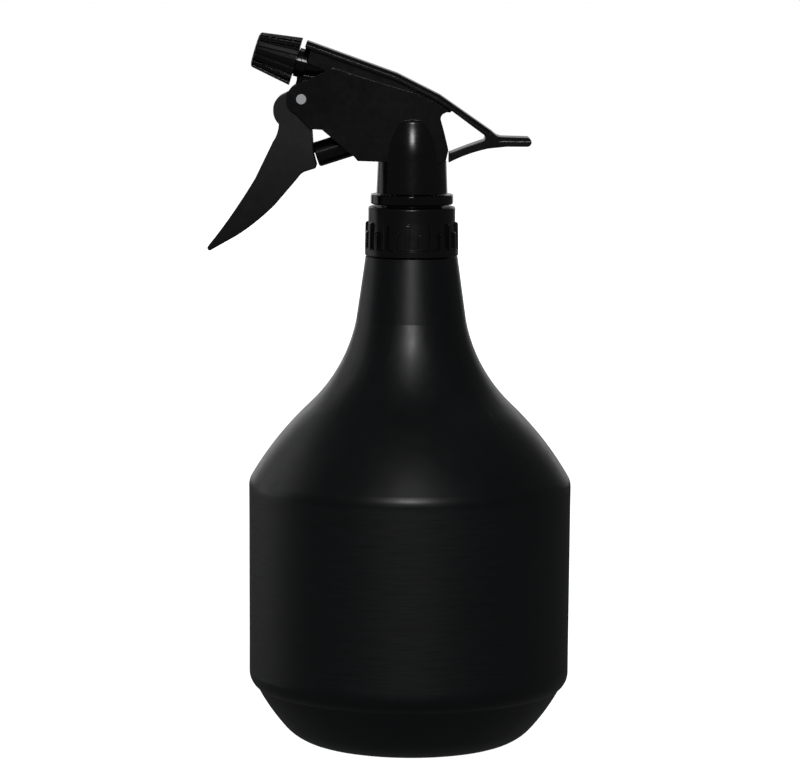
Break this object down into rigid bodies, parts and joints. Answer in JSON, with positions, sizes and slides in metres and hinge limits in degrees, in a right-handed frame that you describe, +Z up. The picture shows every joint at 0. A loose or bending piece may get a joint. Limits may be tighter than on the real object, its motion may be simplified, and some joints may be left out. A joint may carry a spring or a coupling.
{
  "type": "hand mister",
  "caption": "Round-shouldered plastic bottle with a ribbed screw collar and a trigger pump head: hinged trigger, sloping piston pump, turning nozzle and hanging tail.",
  "frame": {"origin": "centre of the bottle's base, on the bottle's axis, level with the ring it stands on", "axes": "+Z up along the bottle axis, -X the way the nozzle points, Y across the trigger"},
  "size_m": [0.1285, 0.1138, 0.2509],
  "materials": {
    "bottle": "satin polyethylene",
    "collar": "semi-gloss polypropylene",
    "body": "gloss moulded",
    "cheek": "semi-gloss moulded",
    "cover": "semi-gloss moulded",
    "trigger": "satin moulded",
    "nozzle": "gloss moulded",
    "white_plastic": "natural acetal",
    "natural_plastic": "translucent natural polyethylene",
    "seal_rubber": "moulded",
    "spring_steel": "drawn wire"
  },
  "bodies": {
    "bottle": {"bottle": "bottle"},
    "gasket": {"neck_gasket": "natural_plastic"},
    "collar": {"collar": "collar"},
    "head": {"pump_body": "body", "tube_retainer": "natural_plastic", "dip_tube": "natural_plastic", "tube_strainer": "natural_plastic", "left_cheek": "cheek", "right_cheek": "cheek", "top_cover": "cover", "pivot_pin": "white_plastic", "return_spring": "spring_steel", "outlet_spring": "spring_steel", "nozzle_core": "white_plastic"},
    "trigger": {"trigger": "trigger"},
    "piston": {"piston": "body", "link_pin": "white_plastic", "piston_wiper": "seal_rubber", "piston_seal": "seal_rubber"},
    "inlet_ball": {"inlet_ball": "spring_steel"},
    "outlet_valve": {"outlet_valve": "white_plastic"},
    "nozzle_seal": {"nozzle_seal": "seal_rubber"},
    "nozzle_cap": {"nozzle_cap": "nozzle"}
  },
  "joints": [
    {"name": "head_lift", "type": "slide", "parent": "bottle", "child": "gasket", "axis": [0, 0, 1], "range_m": [0, 0.00634]},
    {"name": "collar_turn", "type": "hinge", "parent": "gasket", "child": "collar", "pos_m": [0, 0, 0.18], "axis": [0, 0, 1], "range_deg": [0, 540]},
    {"name": "head_swivel", "type": "hinge", "parent": "gasket", "child": "head", "pos_m": [0, 0, 0.2], "axis": [0, 0, 1], "continuous": true},
    {"name": "trigger_pull", "type": "hinge", "parent": "head", "child": "trigger", "pos_m": [-0.0388, 0, 0.228], "axis": [0, -1, 0], "range_deg": [0, 22], "stiffness_Nm_per_rad": 0.35, "springref_deg": -17.19},
    {"name": "piston_stroke", "type": "slide", "parent": "head", "child": "piston", "axis": [0.9511, 0, 0.309], "range_m": [0, 0.00692], "deforming": ["return_spring"]},
    {"name": "inlet_ball_lift", "type": "slide", "parent": "head", "child": "inlet_ball", "axis": [0, 0, 1], "range_m": [0, 0.0012]},
    {"name": "outlet_valve_open", "type": "slide", "parent": "head", "child": "outlet_valve", "axis": [-0.9588, 0, 0.284], "range_m": [0, 0.0008], "stiffness_N_per_m": 60, "springref_m": -0.001, "deforming": ["outlet_spring"]},
    {"name": "nozzle_advance", "type": "slide", "parent": "head", "child": "nozzle_seal", "axis": [-0.9588, 0, 0.284], "range_m": [-0.0015, 0.0015]},
    {"name": "nozzle_turn", "type": "hinge", "parent": "nozzle_seal", "child": "nozzle_cap", "pos_m": [-0.03905, 0, 0.2403], "axis": [-0.9588, 0, 0.284], "range_deg": [-180, 180]}
  ],
  "couplings": [
    {"joint": "collar_turn", "follows": "head_lift", "rad_per_m": 1485.4},
    {"joint": "piston_stroke", "follows": "trigger_pull", "m_per_rad": 0.018012},
    {"joint": "nozzle_turn", "follows": "nozzle_advance", "rad_per_m": 2094.4}
  ]
}
